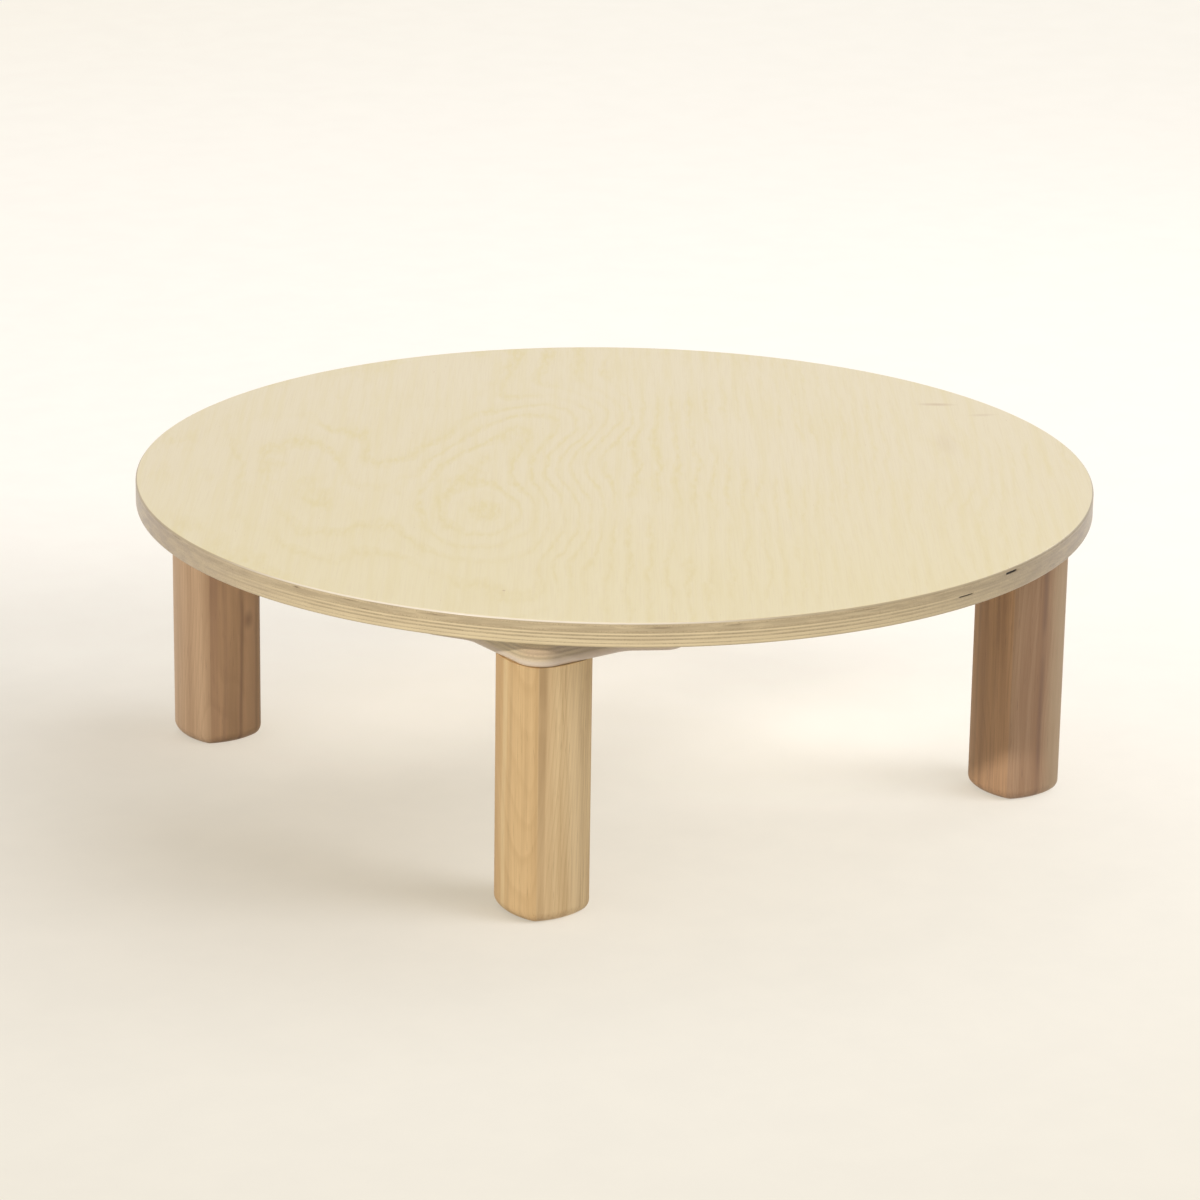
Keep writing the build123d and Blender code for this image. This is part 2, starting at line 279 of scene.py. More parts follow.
plies = {
    "long": (0.86, 0.72, 0.46),
    "end": (0.52, 0.39, 0.23),
    "dark": (0.20, 0.135, 0.080),
    # painted shade inside the rim's pockets
    "pocketShade": (0.030, 0.020, 0.014),
    # pale colour of the painted highlight on the arris
    "arris": (0.92, 0.84, 0.72),
    "arrisBrown": (0.44, 0.35, 0.22),
    "side": (0.350, 0.272, 0.228),  # the ends of the disc, where the edge is browner and even
    # thickness in mm from the face down, and how dark each ply is in itself
    "top": [
        (1.3, 0.05), (0.9, 0.62), (1.6, 0.28), (4.0, 0.48), (2.4, 0.38), (1.6, 0.08), (1.6, 0.42),
        (1.7, 0.12), (1.7, 0.40), (2.6, 0.10), (1.0, 0.26), (2.4, 0.06), (1.2, 0.30),
    ],
    "block": [
        (1.5, 0.15), (2.1, 0.46), (2.2, 0.05), (2.2, 0.44), (2.2, 0.02), (2.2, 0.52), (2.2, 0.05),
        (2.2, 0.50), (2.2, 0.02), (2.2, 0.44), (2.2, 0.00), (2.2, 0.40), (2.2, 0.02), (2.2, 0.22),
    ],
    "waver": {"scale": (11, 11, 1), "detail": 1.0, "height": 0.014},  # in parts of the board
    "softEdge": 0.006,
    "endShare": 0.32,
    "sideReach": {"from": (0.06, 0.78), "to": (1.0, 0.0)},
    "sideEven": 0.72,  # how much of the plies' contrast is lost there
    "sideClouds": {
        "scale": (40, 40, 160), "detail": 3.0, "rough": 0.6,
        "from": (0.3, 0.7), "to": (0.50, 0.85),
    },
    "longFibres": {
        "scale": (26, 26, 1500), "shift": 5, "detail": 3.0, "rough": 0.6,
        "from": (0.40, 0.75), "to": (0.0, 0.35),
    },
    "darkPatches": {
        "scale": (26, 26, 300), "detail": 3.0, "rough": 0.6,
        "from": (0.34, 0.60), "to": (0.55, 1.10),
    },
    "darkShare": 0.86,
    "endFibres": {
        "scale": (900, 900, 1100), "detail": 2.0, "rough": 0.6,
        "from": (0.45, 0.75), "to": (0.0, 0.5),
    },
    "bumpShare": 0.5,
}


# edge of a plywood board: plies in turn show long grain or end grain, as the edge goes round
def plyColour(tree, coords, zTop, layers, grainDeg, outward):
    xyz = parts(tree, coords)
    thickness = sum(layer[0] for layer in layers)
    depth = calc(tree, "DIVIDE", calc(tree, "SUBTRACT", zTop, xyz[2]), thickness * mm)
    waver = calc(tree, "SUBTRACT", noise(tree, coords, plies["waver"]), 0.5)
    depth = calc(tree, "MULTIPLY_ADD", waver, plies["waver"]["height"], depth)
    tones, turns = [], []
    edge, soft = 0.0, plies["softEdge"]
    for number, (size, tone) in enumerate(layers):
        nextEdge = edge + size / thickness
        tones += [(edge + soft, tone), (nextEdge - soft, tone)]
        turns += [(edge, float(number % 2))]
        edge = nextEdge
    tone = ramp(tree, depth, tones)
    crossPly = ramp(tree, depth, turns, "CONSTANT")
    along = Vector((math.cos(math.radians(grainDeg)), math.sin(math.radians(grainDeg)), 0))
    facing = vectorCalc(tree, "DOT_PRODUCT", outward, along)["Value"]
    endWay = calc(tree, "POWER", facing, 2.0)
    endGrain = calc(tree, "ABSOLUTE", calc(tree, "SUBTRACT", endWay, crossPly))
    sideways = levelled(tree, endWay, plies["sideReach"])
    endShare = calc(tree, "MULTIPLY", endGrain, plies["endShare"])
    colour = blended(tree, endShare, plies["long"], plies["end"])
    clouds = levelled(tree, noise(tree, coords, plies["sideClouds"]), plies["sideClouds"])
    colour = blended(tree, calc(tree, "MULTIPLY", sideways, clouds), colour, plies["side"])
    longFibre = noise(tree, coords, plies["longFibres"])
    colour = blended(tree, levelled(tree, longFibre, plies["longFibres"]), colour, plies["end"])
    patches = levelled(tree, noise(tree, coords, plies["darkPatches"]), plies["darkPatches"])
    contrast = calc(tree, "MULTIPLY_ADD", sideways, -plies["sideEven"], 1.0)
    darkness = calc(tree, "MULTIPLY", calc(tree, "MULTIPLY", tone, patches), contrast)
    darkness = calc(tree, "MULTIPLY", darkness, plies["darkShare"])
    colour = blended(tree, darkness, colour, plies["dark"])
    endFibre = levelled(tree, noise(tree, coords, plies["endFibres"]), plies["endFibres"])
    colour = blended(tree, calc(tree, "MULTIPLY", endFibre, endGrain), colour, plies["dark"])
    return colour, calc(tree, "MULTIPLY", longFibre, plies["bumpShare"])


rimMarks = [  # degrees round from +X, mm below the face, length and height in mm, strength
    (173.0, 2.9, 38, 2.4, 0.60),
    (-164.0, 3.4, 15, 2.8, 0.70),
    (-156.5, 3.8, 24, 1.8, 0.65),
    (-154.5, 9.5, 27, 1.5, 0.60),
    (-146.0, 4.2, 40, 2.2, 0.40),
    (-121.0, 5.0, 60, 3.0, 0.50),
    (-112.5, 4.6, 34, 2.6, 0.45),
    (-97.0, 3.8, 46, 2.2, 0.40),
]
rimPockets = [  # knot holes: degrees round from +X, mm below the face, length, height and depth in mm
    (-74.5, 4.2, 19.0, 2.6, 2.0),
    (-82.7, 11.9, 22.0, 1.5, 1.1),
]
rimFringe = {
    "scale": (120, 900, 1), "detail": 2.0, "rough": 0.6,
    "from": (0.30, 0.60), "to": (0.4, 1.3),
}
rimDark = {  # in mm: where the painted shade inside the pockets sets in
    "inward": (1.3, 0.2),
    "belowFace": (2.8, 2.5),
    "aboveBottom": (2.2, 2.5),
}


# dark dashes on the rim, and painted shade inside its pockets
def rimMarked(tree, coords, edge):
    radius = (topHigh.y - topLow.y) / 2
    xyz = parts(tree, coords)
    arc = calc(tree, "MULTIPLY", calc(tree, "ARCTAN2", xyz[1], xyz[0]), radius)
    rim = joined(tree, arc, calc(tree, "SUBTRACT", topHigh.z, xyz[2]))
    fringe = levelled(tree, noise(tree, rim, rimFringe), rimFringe)
    for degrees, below, length, height, strength in rimMarks:
        centre = (math.radians(degrees) * radius, below * mm, 0.0)
        shape = spot(tree, rim, centre, (length / 2 * mm, height / 2 * mm, 1))
        shape = calc(tree, "MULTIPLY", shape, fringe)
        edge = blended(tree, calc(tree, "MULTIPLY", shape, strength), edge, plies["dark"])
    # painted shade fills the inside of each pocket
    reach = vectorCalc(tree, "LENGTH", mapped(tree, coords, scale=(1, 1, 0)))["Value"]
    deep, shallow = (radius - depth * mm for depth in rimDark["inward"])
    pocketShadeMask = eased(tree, reach, deep, shallow, 1.0, 0.0)
    start, end = (topHigh.z - depth * mm for depth in rimDark["belowFace"])
    upright = eased(tree, xyz[2], start, end, 1.0, 0.0)
    start, end = (topLow.z + height * mm for height in rimDark["aboveBottom"])
    lowest = eased(tree, xyz[2], start, end)
    pocketShadeMask = calc(tree, "MULTIPLY", calc(tree, "MULTIPLY", pocketShadeMask, upright), lowest)
    return blended(tree, pocketShadeMask, edge, plies["pocketShade"])


topEdge = {
    "face": (0.5, 0.1),  # mm below the face where the veneer takes over
    "underside": (0.25, 1.1),
    "arris": (1.9, 1.2),
    "arrisShare": 0.85,
    "highlightFacing": (-0.79, -0.61, 0),  # painted highlight of the window lamp: the arris is pale where it faces this way
    # how far round the painted highlight reaches
    "paleReach": (0.78, 0.97),
    "coatReach": (2.0, 0.4),
    "coat": (0.12, 0.05),  # on the edge and on the face
}


def topPlywood():
    mat, tree, shader = newMaterial("topPlywood")
    coords = objectCoords(tree)
    zTop = topHigh.z
    z = parts(tree, coords)[2]
    face, flat, fibre = veneerColour(tree, coords)
    for centre, radii, angle, strength in veneerKnots:
        shape = spot(tree, flat, centre + (0.0,), radii + (1,), angle)
        face = blended(tree, calc(tree, "MULTIPLY", shape, strength), face, veneer["knot"])
    outward = vectorCalc(tree, "NORMALIZE", mapped(tree, coords, scale=(1, 1, 0)))[0]
    edge, grain = plyColour(tree, coords, zTop, plies["top"], veneer["grainDeg"], outward)
    start, end = (zTop - depth * mm for depth in topEdge["face"])
    onFace = eased(tree, z, start, end)
    start, end = (topLow.z + height * mm for height in topEdge["underside"])
    below = eased(tree, z, start, end, 1.0, 0.0)
    edge = rimMarked(tree, coords, edge)
    start, end = (zTop - depth * mm for depth in topEdge["arris"])
    arris = eased(tree, z, start, end, 0.0, topEdge["arrisShare"])
    # painted highlight: the arris turns pale where it faces the window lamp, and stays brown elsewhere
    facing = vectorCalc(tree, "DOT_PRODUCT", outward, topEdge["highlightFacing"])["Value"]
    paintedHighlight = eased(tree, facing, *topEdge["paleReach"])
    edge = blended(tree, arris, edge, blended(tree, paintedHighlight, plies["arrisBrown"], plies["arris"]))
    colour = blended(tree, onFace, edge, face)
    colour = blended(tree, below, colour, face)
    plug(tree, shader.inputs["Base Color"], colour)
    shader.inputs["Roughness"].default_value = veneer["roughness"]
    shader.inputs["Specular IOR Level"].default_value = veneer["specular"]
    start, end = (zTop - depth * mm for depth in topEdge["coatReach"])
    plug(tree, shader.inputs["Coat Weight"], eased(tree, z, start, end, *topEdge["coat"]))
    shader.inputs["Coat Roughness"].default_value = veneer["coatRoughness"]
    bumped(tree, shader, calc(tree, "ADD", fibre, grain), veneer["bumpMm"] * mm)
    return mat


blockLook = {
    "veneerShift": 0.7,  # takes the figure from another part of the sheet
    "grainDeg": 20.0,
    "underside": (0.2, 0.6),  # mm above the bottom where the veneer gives way to the edge
    "lip": (0.92, 0.79, 0.69),  # painted bounce light: the lower arris made paler, as if lit from the floor
    "lipReach": (4.5, 10.0),
    "lipShare": 0.62,
    "nosePatch": (0.70, 0.46, 0.34),
    "nosePlace": (30, 15),  # mm out from the leg's axis each way, and above the bottom
    "noseRadii": (0.026, 0.026, 0.010),
    "noseShare": 0.35,
    "roughness": 0.42,
    "coat": 0.6,
    "coatRoughness": 0.20,
}


def blockPlywood():
    mat, tree, shader = newMaterial("blockPlywood")
    coords = objectCoords(tree)
    normal = tree.nodes.new("ShaderNodeNewGeometry").outputs["Normal"]
    z = parts(tree, coords)[2]
    face, _, fibre = veneerColour(tree, coords, blockLook["veneerShift"])
    edge, grain = plyColour(tree, coords, blockHigh.z, plies["block"], blockLook["grainDeg"], normal)
    start, end = (blockLow.z + height * mm for height in blockLook["underside"])
    below = eased(tree, z, start, end, 1.0, 0.0)
    # painted bounce light: paler towards the lower arris
    start, end = (blockLow.z + height * mm for height in blockLook["lipReach"])
    lip = eased(tree, z, start, end, blockLook["lipShare"], 0.0)
    edge = blended(tree, lip, edge, blockLook["lip"])
    out, up = (distance * mm for distance in blockLook["nosePlace"])
    for corner, side in corners.items():
        nose = legAxis(corner) + Vector((side[0] * out, side[1] * out, blockLow.z + up))
        patch = spot(tree, coords, tuple(nose), blockLook["noseRadii"])
        patch = calc(tree, "MULTIPLY", patch, blockLook["noseShare"])
        edge = blended(tree, patch, edge, blockLook["nosePatch"])
    plug(tree, shader.inputs["Base Color"], blended(tree, below, edge, face))
    shader.inputs["Roughness"].default_value = blockLook["roughness"]
    shader.inputs["Coat Weight"].default_value = blockLook["coat"]
    shader.inputs["Coat Roughness"].default_value = blockLook["coatRoughness"]
    bumped(tree, shader, calc(tree, "ADD", fibre, grain), veneer["bumpMm"] * mm)
    return mat


# metres from the leg's axis:
# pith is where the rings' centre stands, and split is how far the X faces' tone passes the corner
# ridge: share, width at the top, width at the foot and start of the darker strip beside one corner
# streaks: side, place, width, strength; bands: side, place, width, tone, strength
legWoods = {
    "front_left": {
        "xFaces": (0.785, 0.555, 0.290), "yFaces": (0.925, 0.715, 0.425), "lean": 0.07,
        "ring": (0.56, 0.36, 0.165), "streakTone": (0.36, 0.215, 0.095),
        "pith": (0.150, 0.030), "ringMm": 3.6, "seed": 1.0,
        "bend": 0.020, "lines": 0.34, "broad": 0.55,
        "ridge": (0.60, 0.012, 0.010, 0.0045), "split": 0.004, "sway": 0.030,
        "streaks": [("y", -0.0045, 0.0035, 0.28), ("y", -0.021, 0.004, 0.16), ("x", 0.020, 0.007, 0.12)],
        "bands": [
            ("y", 0.020, 0.015, (0.62, 0.37, 0.16), 0.40),
            ("y", 0.0045, 0.005, (0.95, 0.77, 0.45), 0.35),
            ("x", -0.021, 0.014, (0.78, 0.58, 0.34), 0.35),
            ("x", 0.013, 0.010, (0.98, 0.76, 0.47), 0.35),
        ],
        "knots": [],
    },
    "front_right": {
        "xFaces": (0.625, 0.390, 0.222), "yFaces": (0.520, 0.345, 0.222), "lean": 0.0,
        "ring": (0.36, 0.205, 0.12), "streakTone": (0.20, 0.115, 0.092),
        "pith": (-0.120, 0.060), "ringMm": 4.2, "seed": 5.0,
        "bend": 0.060, "lines": 0.34, "broad": 0.75,
        "ridge": (0.0, 0.006, 0.006, 0.0), "split": -0.004, "sway": 0.006,
        "streaks": [("x", -0.0025, 0.0050, 0.52), ("y", -0.012, 0.005, 0.25), ("y", 0.016, 0.004, 0.20)],
        "bands": [
            ("x", 0.026, 0.026, (0.60, 0.46, 0.30), 0.62),
            ("y", 0.020, 0.018, (0.66, 0.38, 0.18), 0.35),
        ],
        "knots": [],
    },
    "back_right": {
        "xFaces": (0.66, 0.46, 0.25), "yFaces": (0.60, 0.40, 0.22), "lean": 0.03,
        "ring": (0.45, 0.275, 0.13), "streakTone": (0.30, 0.17, 0.09),
        "pith": (0.090, -0.110), "ringMm": 4.2, "seed": 9.0,
        "bend": 0.040, "lines": 0.45, "broad": 0.6,
        "ridge": (0.4, 0.008, 0.005, 0.0), "split": 0.0, "sway": 0.030,
        "streaks": [("y", 0.012, 0.004, 0.4)],
        "bands": [("x", -0.018, 0.016, (0.74, 0.55, 0.33), 0.5)],
        "knots": [],
    },
    "back_left": {
        "xFaces": (0.650, 0.445, 0.275), "yFaces": (0.615, 0.390, 0.228), "lean": -0.03,
        "ring": (0.42, 0.26, 0.15), "streakTone": (0.25, 0.135, 0.10),
        "pith": (0.020, 0.110), "ringMm": 4.4, "seed": 13.0,
        "bend": 0.060, "lines": 0.42, "broad": 0.65,
        "ridge": (0.42, 0.014, 0.012, 0.0055), "split": 0.005, "sway": 0.030,
        "streaks": [("x", 0.002, 0.0035, 0.55), ("x", -0.016, 0.004, 0.25), ("x", 0.022, 0.004, 0.30)],
        "bands": [
            ("x", 0.017, 0.018, (0.84, 0.55, 0.34), 0.42),
            ("y", 0.030, 0.012, (0.70, 0.50, 0.33), 0.35),
        ],
        "knots": [
            ((0.018, -0.040, 0.232), (0.012, 0.02, 0.016)),
            ((0.014, -0.040, 0.130), (0.009, 0.02, 0.014)),
        ],
    },
}


legGrain = {  # what the four legs share
    "bend": {"scale": (7, 7, 3.0), "detail": 2.0, "rough": 0.45},
    "ripple": {"scale": (60, 60, 9), "detail": 2.0, "height": 0.0016},
    "lateWood": [(0.0, 0.0), (0.55, 0.25), (0.86, 1.0), (0.95, 0.55), (1.0, 0.0)],
    "years": {"scale": 1.0, "detail": 1.0, "from": (0.3, 0.7)},
    "yearsPerMetre": 90.0,
    "palestYear": 0.15,
    "splitSoft": 0.0015,
    "broad": {"scale": (60, 60, 2.2), "shift": 2, "detail": 2.0, "from": (0.38, 0.70)},
    "fibres": {
        "scale": (650, 650, 14), "detail": 3.0, "rough": 0.6,
        "from": (0.40, 0.78), "to": (0.0, 0.45),
    },
    "pores": {
        "scale": (1100, 1100, 45), "shift": 4, "detail": 1.0,
        "from": (0.66, 0.78), "to": (0.0, 0.40),
    },
    "dashes": {"scale": (20, 20, 16), "shift": 8, "detail": 2.0},
    "bandBreaks": {"from": (0.2, 0.6), "to": (0.5, 1.0)},
    "bandCore": 0.3,  # share of a band's width that has its full strength
    "streakBreaks": {"from": (0.3, 0.6), "to": (0.35, 1.0)},
    "ridgeBreaks": {"from": (0.25, 0.65), "to": (0.55, 1.0)},
    "ridgeSpan": (0.10, 0.22),  # heights between which the dark corner widens
    "ridgeFade": {"from": (0.06, 0.20), "to": (0.5, 1.0)},  # and darkens
    "ridgeStart": (-0.1, 0.1),  # in parts of its width
    "ridgeEnd": (0.6, 1.1),
    "ridgeCorner": (-0.050, -0.035),  # x + y where it is full and where it is gone
    "knotShare": 0.55,
    "roughness": 0.48,
    "specular": 0.4,
    "bumpMm": 0.05,
}


# solid wood: rings about a pith outside the leg, so that each face shows its own cut of them
def legWood(corner):
    wood = legWoods[corner]
    mat, tree, shader = newMaterial("legWood_" + corner)
    centre = legAxis(corner)
    local = mapped(tree, objectCoords(tree), shift=(-centre.x, -centre.y, 0))
    seeded = mapped(tree, local, shift=(wood["seed"], wood["seed"], 0))
    bend = noise(tree, seeded, legGrain["bend"])
    ripple = noise(tree, seeded, legGrain["ripple"])
    across = mapped(tree, local, scale=(1, 1, 0), shift=(-wood["pith"][0], -wood["pith"][1], 0))
    reach = vectorCalc(tree, "LENGTH", across)["Value"]
    reach = calc(tree, "MULTIPLY_ADD", bend, wood["bend"], reach)
    reach = calc(tree, "MULTIPLY_ADD", ripple, legGrain["ripple"]["height"], reach)
    reach = calc(tree, "MULTIPLY_ADD", parts(tree, local)[2], wood["lean"], reach)
    ring = calc(tree, "FRACT", calc(tree, "DIVIDE", reach, wood["ringMm"] * mm))
    late = ramp(tree, ring, legGrain["lateWood"], "EASE")
    years = joined(tree, calc(tree, "MULTIPLY", reach, legGrain["yearsPerMetre"]), wood["seed"])
    years = noise(tree, years, legGrain["years"])
    years = eased(tree, years, *legGrain["years"]["from"], legGrain["palestYear"], wood["lines"])
    late = calc(tree, "MULTIPLY", late, years)
    xyz = parts(tree, local)
    sway = calc(tree, "MULTIPLY", calc(tree, "SUBTRACT", bend, 0.5), wood["sway"])
    sideX, sideY = calc(tree, "ABSOLUTE", xyz[0]), calc(tree, "ABSOLUTE", xyz[1])
    split, soft = wood["split"], legGrain["splitSoft"]
    onX = eased(tree, calc(tree, "SUBTRACT", sideX, sideY), -split - soft, -split + soft)
    colour = blended(tree, onX, wood["yFaces"], wood["xFaces"])
    colour = blended(tree, late, colour, wood["ring"])
    broad = noise(tree, seeded, legGrain["broad"])
    broad = eased(tree, broad, *legGrain["broad"]["from"], 0.0, wood["broad"])
    colour = blended(tree, broad, colour, wood["ring"])
    fibre = noise(tree, seeded, legGrain["fibres"])
    colour = blended(tree, levelled(tree, fibre, legGrain["fibres"]), colour, wood["ring"])
    pores = noise(tree, seeded, legGrain["pores"])
    colour = blended(tree, levelled(tree, pores, legGrain["pores"]), colour, wood["streakTone"])
    dashes = noise(tree, seeded, legGrain["dashes"])
    for side, place, width, tone, strength in wood["bands"]:
        here = calc(tree, "SUBTRACT", calc(tree, "ADD", xyz["xyz".index(side)], sway), place)
        core = width * legGrain["bandCore"]
        line = eased(tree, calc(tree, "ABSOLUTE", here), core, width, strength, 0.0)
        itsFaces = onX if side == "y" else calc(tree, "SUBTRACT", 1.0, onX)
        line = calc(tree, "MULTIPLY", line, itsFaces)
        line = calc(tree, "MULTIPLY", line, levelled(tree, dashes, legGrain["bandBreaks"]))
        colour = blended(tree, line, colour, tone)
    for side, place, width, strength in wood["streaks"]:
        here = calc(tree, "SUBTRACT", calc(tree, "ADD", xyz["xyz".index(side)], sway), place)
        line = eased(tree, calc(tree, "ABSOLUTE", here), 0.0, width, strength, 0.0)
        line = calc(tree, "MULTIPLY", line, levelled(tree, dashes, legGrain["streakBreaks"]))
        colour = blended(tree, line, colour, wood["streakTone"])
    # a darker strip on the -Y face beside its corner with the -X face, wider and darker at the top
    share, wide, narrow, start = wood["ridge"]
    width = eased(tree, xyz[2], *legGrain["ridgeSpan"], narrow, wide)
    past = calc(tree, "SUBTRACT", calc(tree, "SUBTRACT", xyz[0], xyz[1]), start)
    past = calc(tree, "DIVIDE", past, width)
    strip = eased(tree, past, *legGrain["ridgeStart"], 0.0, share)
    strip = calc(tree, "MULTIPLY", strip, eased(tree, past, *legGrain["ridgeEnd"], 1.0, 0.0))
    strip = calc(tree, "MULTIPLY", strip, levelled(tree, xyz[2], legGrain["ridgeFade"]))
    nearCorner = eased(tree, calc(tree, "ADD", xyz[0], xyz[1]), *legGrain["ridgeCorner"], 1.0, 0.0)
    strip = calc(tree, "MULTIPLY", strip, nearCorner)
    strip = calc(tree, "MULTIPLY", strip, levelled(tree, dashes, legGrain["ridgeBreaks"]))
    colour = blended(tree, strip, colour, wood["streakTone"])
    for middle, radii in wood["knots"]:
        shape = spot(tree, local, middle, radii)
        shape = calc(tree, "MULTIPLY", shape, legGrain["knotShare"])
        colour = blended(tree, shape, colour, wood["streakTone"])
    plug(tree, shader.inputs["Base Color"], colour)
    shader.inputs["Roughness"].default_value = legGrain["roughness"]
    shader.inputs["Specular IOR Level"].default_value = legGrain["specular"]
    bumped(tree, shader, calc(tree, "ADD", fibre, pores), legGrain["bumpMm"] * mm)
    return mat


smallFinishes = {
    "blackSteel": {
        "colour": (0.022, 0.022, 0.024), "metallic": 0.0, "roughness": 0.46,
        "grain": {"scale": 900.0, "detail": 2.0}, "bumpMm": 0.05,
    },
    "zincSteel": {
        "colour": (0.62, 0.61, 0.56), "metallic": 1.0, "roughness": 0.34,
        "grain": {"scale": 500.0, "detail": 2.0}, "bumpMm": 0.01,
    },
    "springSteel": {
        "colour": (0.20, 0.215, 0.25), "metallic": 1.0, "roughness": 0.30,
        "grain": {"scale": 300.0, "detail": 2.0}, "bumpMm": 0.01,
    },
    "nylon": {
        "colour": (0.72, 0.70, 0.62), "metallic": 0.0, "roughness": 0.55,
        "grain": {"scale": 700.0, "detail": 2.0}, "bumpMm": 0.02,
    },
}
clouding = {
    "scale": 60.0, "detail": 3.0, "rough": 0.6,
    "dull": 0.72,
    "dullAt": (0.3, 0.7),
    "smoothest": 0.85,
    "roughest": 1.2,
    "roughAt": (0.25, 0.75),
}


def smallFinish(name):
    look = smallFinishes[name]
    mat, tree, shader = newMaterial(name)
    coords = objectCoords(tree)
    cloud = noise(tree, coords, clouding)
    dull = tuple(c * clouding["dull"] for c in look["colour"])
    colour = blended(tree, eased(tree, cloud, *clouding["dullAt"]), look["colour"], dull)
    plug(tree, shader.inputs["Base Color"], colour)
    low, high = (look["roughness"] * clouding[end] for end in ("smoothest", "roughest"))
    plug(tree, shader.inputs["Roughness"], eased(tree, cloud, *clouding["roughAt"], low, high))
    shader.inputs["Metallic"].default_value = look["metallic"]
    bumped(tree, shader, noise(tree, coords, look["grain"]), look["bumpMm"] * mm)
    return mat


finishes = {name: smallFinish(name) for name in smallFinishes}
finishes["top"] = topPlywood()
finishes["block"] = blockPlywood()
for corner in corners:
    finishes["leg_" + corner] = legWood(corner)
print("finishes made:", len(finishes))


def newPiece(name, bm, mat):
    bmesh.ops.recalc_face_normals(bm, faces=bm.faces)
    mesh = bpy.data.meshes.new(name)
    bm.to_mesh(mesh)
    bm.free()
    mesh.shade_smooth()
    mesh.materials.append(mat)
    piece = bpy.data.objects.new(name, mesh)
    bpy.context.scene.collection.objects.link(piece)
    return piece


# stacks closed rings of points into a skin and closes both ends
def skinned(rings):
    bm = bmesh.new()
    rows = [[bm.verts.new(point) for point in ring] for ring in rings]
    for upper, lower in zip(rows, rows[1:]):
        for i in range(len(upper)):
            bm.faces.new((upper[i - 1], upper[i], lower[i], lower[i - 1]))
    bm.faces.new(rows[0])
    bm.faces.new(rows[-1])
    return bm


def paint(node, mat):
    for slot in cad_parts[node].material_slots:
        slot.material = mat


discShape = {  # in mm
    "segments": 480,
    "faceRings": (0.25, 0.6, 0.9),  # shares of the radius
    "land": 1.0,  # flat ring between the face and its rounded edge
    "upperRound": 2.5,
    "lowerRound": 2.0,
    "arcSteps": 8,
    "seamDepth": 0.04,
    "seamHalf": 0.2,
    "seamClear": 0.4,  # no seam nearer to a rounded edge
    "rimSkin": 0.1,  # rings this near to the full radius belong to the upright rim
    "pocketSteps": (-1, -0.9, -0.7, -0.35, 0, 0.35, 0.7, 0.9, 1),
    "pocketSlopes": (3, 4),  # how steeply a pocket deepens along and across
}


# how far the rim is hollowed at one place
def pocketDepth(turn, z, radius):
    deepest = 0.0
    slopeAlong, slopeAcross = discShape["pocketSlopes"]
    for degrees, below, length, height, depth in rimPockets:
        off = (turn - math.radians(degrees) + math.pi) % math.tau - math.pi
        along = abs(off) * radius / (length / 2 * mm)
        across = abs(topHigh.z - z - below * mm) / (height / 2 * mm)
        if along < 1 and across < 1:
            deepest = depth * mm * min(1, slopeAlong * (1 - along)) * min(1, slopeAcross * (1 - across))
    return deepest


# lathe profile from the middle of the face, over the rim, to the middle of the underside
def buildTop():
    radius = (topHigh.y - topLow.y) / 2
    upper, lower = discShape["upperRound"] * mm, discShape["lowerRound"] * mm
    land, skin = discShape["land"] * mm, discShape["rimSkin"] * mm
    steps = discShape["arcSteps"]
    profile = [(radius * share, topHigh.z) for share in discShape["faceRings"]]
    profile.append((radius - upper - land, topHigh.z))
    for step in range(steps + 1):
        t = math.radians(90 * step / steps)
        profile.append((radius - upper + upper * math.sin(t), topHigh.z - upper + upper * math.cos(t)))
    z = topHigh.z
    seam, half = discShape["seamDepth"] * mm, discShape["seamHalf"] * mm
    clear = discShape["seamClear"] * mm
    for size, _ in plies["top"][:-1]:
        z -= size * mm
        if topLow.z + lower + clear < z < topHigh.z - upper - clear:
            profile += [(radius, z + half), (radius - seam, z), (radius, z - half)]
    for step in range(steps + 1):
        t = math.radians(90 * step / steps)
        profile.append((radius - lower + lower * math.cos(t), topLow.z + lower - lower * math.sin(t)))
    profile.append((radius - lower - land, topLow.z))
    profile += [(radius * share, topLow.z) for share in reversed(discShape["faceRings"])]
    count = discShape["segments"]
    turns = {math.tau * i / count for i in range(count)}
    heights = set()
    for degrees, below, length, height, _ in rimPockets:
        for share in discShape["pocketSteps"]:
            turns.add((math.radians(degrees) + share * length / 2 * mm / radius) % math.tau)
            heights.add(topHigh.z - (below + share * height / 2) * mm)
    profile += [(radius, z) for z in heights]
    outer = sorted((p for p in profile if p[0] > radius - skin), key=lambda p: -p[1])
    inner = [p for p in profile if p[0] <= radius - skin]
    face = [p for p in inner if p[1] > topHigh.z - upper]
    underside = [p for p in inner if p[1] <= topHigh.z - upper]
    rings = []
    for r, z in face + outer + underside:
        ring = []
        for t in sorted(turns):
            reach = r - pocketDepth(t, z, radius) if r > radius - skin else r
            ring.append((reach * math.cos(t), reach * math.sin(t), z))
        rings.append(ring)
    top = newPiece("tableTop", skinned(rings), finishes["top"])
    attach(top, "table")
    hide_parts("table_top")


legShape = {  # in mm
    "width": 80.0,
    "crown": 72.0,  # radius of each bowed face
    "corner": 13.0,
    "footRound": 12.0,
    "footSteps": 8,
    "topRound": 0.5,
    "topRoundStep": 0.3,  # share of it where its middle row of points lies
    "topBand": 20.0,  # one more row of points this far below the top
    "seat": 35.0,  # flat on the inner corner, from the leg's axis
    "seatLength": 52.0,
    "faceSteps": 16,
    "cornerSteps": 12,
    "rows": 14,
    "sharpDeg": 40,
}


